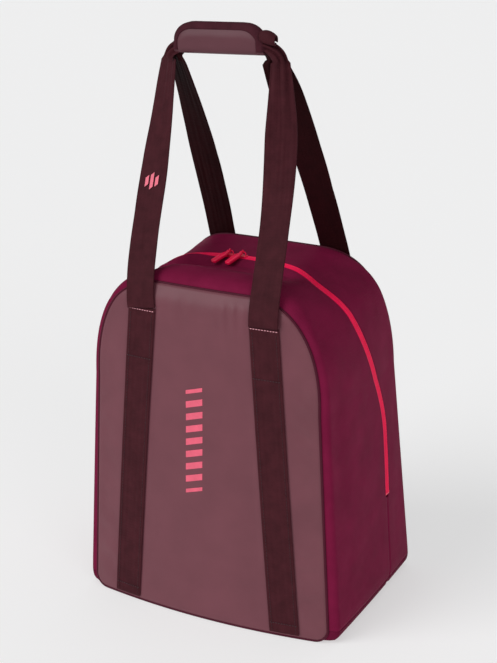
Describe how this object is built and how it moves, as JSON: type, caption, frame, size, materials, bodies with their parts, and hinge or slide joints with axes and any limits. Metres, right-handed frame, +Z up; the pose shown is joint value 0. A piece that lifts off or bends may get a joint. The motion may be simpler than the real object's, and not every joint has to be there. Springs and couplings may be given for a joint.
{
  "type": "ski boot bag",
  "caption": "Upright soft bag with a stiff base, a wrap-over two-way zip and two webbing handles joined by a padded grip, for carrying a pair of ski boots.",
  "frame": {"origin": "middle of the base's underside, on the floor", "axes": "+Z up, -Y out of the front panel, +X to the right of a person who looks at the front"},
  "size_m": [0.3628, 0.2675, 0.7306],
  "materials": {
    "coated_panel": "satin",
    "gusset_fabric": "matte",
    "base_fabric": "matte",
    "base_board": "matte",
    "piping": "satin",
    "zip_tape": "satin",
    "zip_pull": "gloss",
    "webbing": "matte",
    "thread": "matte",
    "binding": "matte"
  },
  "bodies": {
    "bag_body": {"back_panel": "coated_panel", "base_panel": "base_fabric", "base_board": "base_board", "front_panel_lower": "coated_panel", "gusset_rear": "gusset_fabric", "gusset_side_front_left": "gusset_fabric", "gusset_side_front_right": "gusset_fabric", "gusset_side_rear_left": "gusset_fabric", "gusset_side_rear_right": "gusset_fabric", "piping_back": "piping", "piping_front_lower": "piping", "webbing_front_left_lower": "webbing", "webbing_front_right_lower": "webbing", "webbing_rear_left": "webbing", "webbing_rear_right": "webbing", "stitching_rear_left": "thread", "stitching_rear_right": "thread", "zip_tape_rear": "zip_tape", "zip_coil_rear": "zip_tape", "zip_stop_left": "zip_tape", "zip_stop_right": "zip_tape"},
    "mouth_flap": {"front_panel_upper": "coated_panel", "gusset_front": "gusset_fabric", "piping_front_upper": "piping", "webbing_front_left_upper": "webbing", "webbing_front_right_upper": "webbing", "stitching_front_left": "thread", "stitching_front_right": "thread", "zip_tape_front": "zip_tape", "zip_coil_front": "zip_tape"},
    "front_handle": {"handle_strap_front": "webbing"},
    "rear_handle": {"handle_strap_rear": "webbing", "grip_wrap_rear": "coated_panel", "grip_binding_rear": "binding"},
    "grip_flap": {"grip_wrap_front": "coated_panel", "grip_binding_front": "binding"},
    "slider_left": {"slider_left": "zip_pull"},
    "slider_right": {"slider_right": "zip_pull"},
    "pull_left": {"pull_ring_left": "zip_pull", "pull_tab_left": "zip_pull"},
    "pull_right": {"pull_ring_right": "zip_pull", "pull_tab_right": "zip_pull"}
  },
  "joints": [
    {"name": "mouth_fold", "type": "hinge", "parent": "bag_body", "child": "mouth_flap", "pos_m": [0, -0.14, 0.134], "axis": [1, 0, 0], "range_deg": [0, 20]},
    {"name": "front_handle_swing", "type": "hinge", "parent": "mouth_flap", "child": "front_handle", "pos_m": [0, -0.13308, 0.403], "axis": [1, 0, 0], "range_deg": [0, 145], "deforming": ["grip_wrap_front", "grip_binding_front"]},
    {"name": "rear_handle_swing", "type": "hinge", "parent": "bag_body", "child": "rear_handle", "pos_m": [0, 0.08712, 0.40972], "axis": [-1, 0, 0], "range_deg": [0, 145]},
    {"name": "grip_flap_fold", "type": "hinge", "parent": "rear_handle", "child": "grip_flap", "pos_m": [-0.04142, -0.0087, 0.69521], "axis": [0.999, 0, 0.0436], "range_deg": [0, 150]},
    {"name": "slider_left_travel", "type": "hinge", "parent": "bag_body", "child": "slider_left", "pos_m": [0, -0.2075, 0.438], "axis": [0, 0, 1], "range_deg": [0, 9.5]},
    {"name": "slider_right_travel", "type": "hinge", "parent": "bag_body", "child": "slider_right", "pos_m": [0, -0.2075, 0.438], "axis": [0, 0, -1], "range_deg": [0, 19.5]},
    {"name": "pull_left_swing", "type": "hinge", "parent": "slider_left", "child": "pull_left", "pos_m": [-0.026, -0.0092, 0.44827], "axis": [-0.9915, -0.13, 0], "range_deg": [0, 190]},
    {"name": "pull_right_swing", "type": "hinge", "parent": "slider_right", "child": "pull_right", "pos_m": [-0.009, -0.0077, 0.44833], "axis": [-0.999, -0.045, 0], "range_deg": [0, 190]}
  ]
}
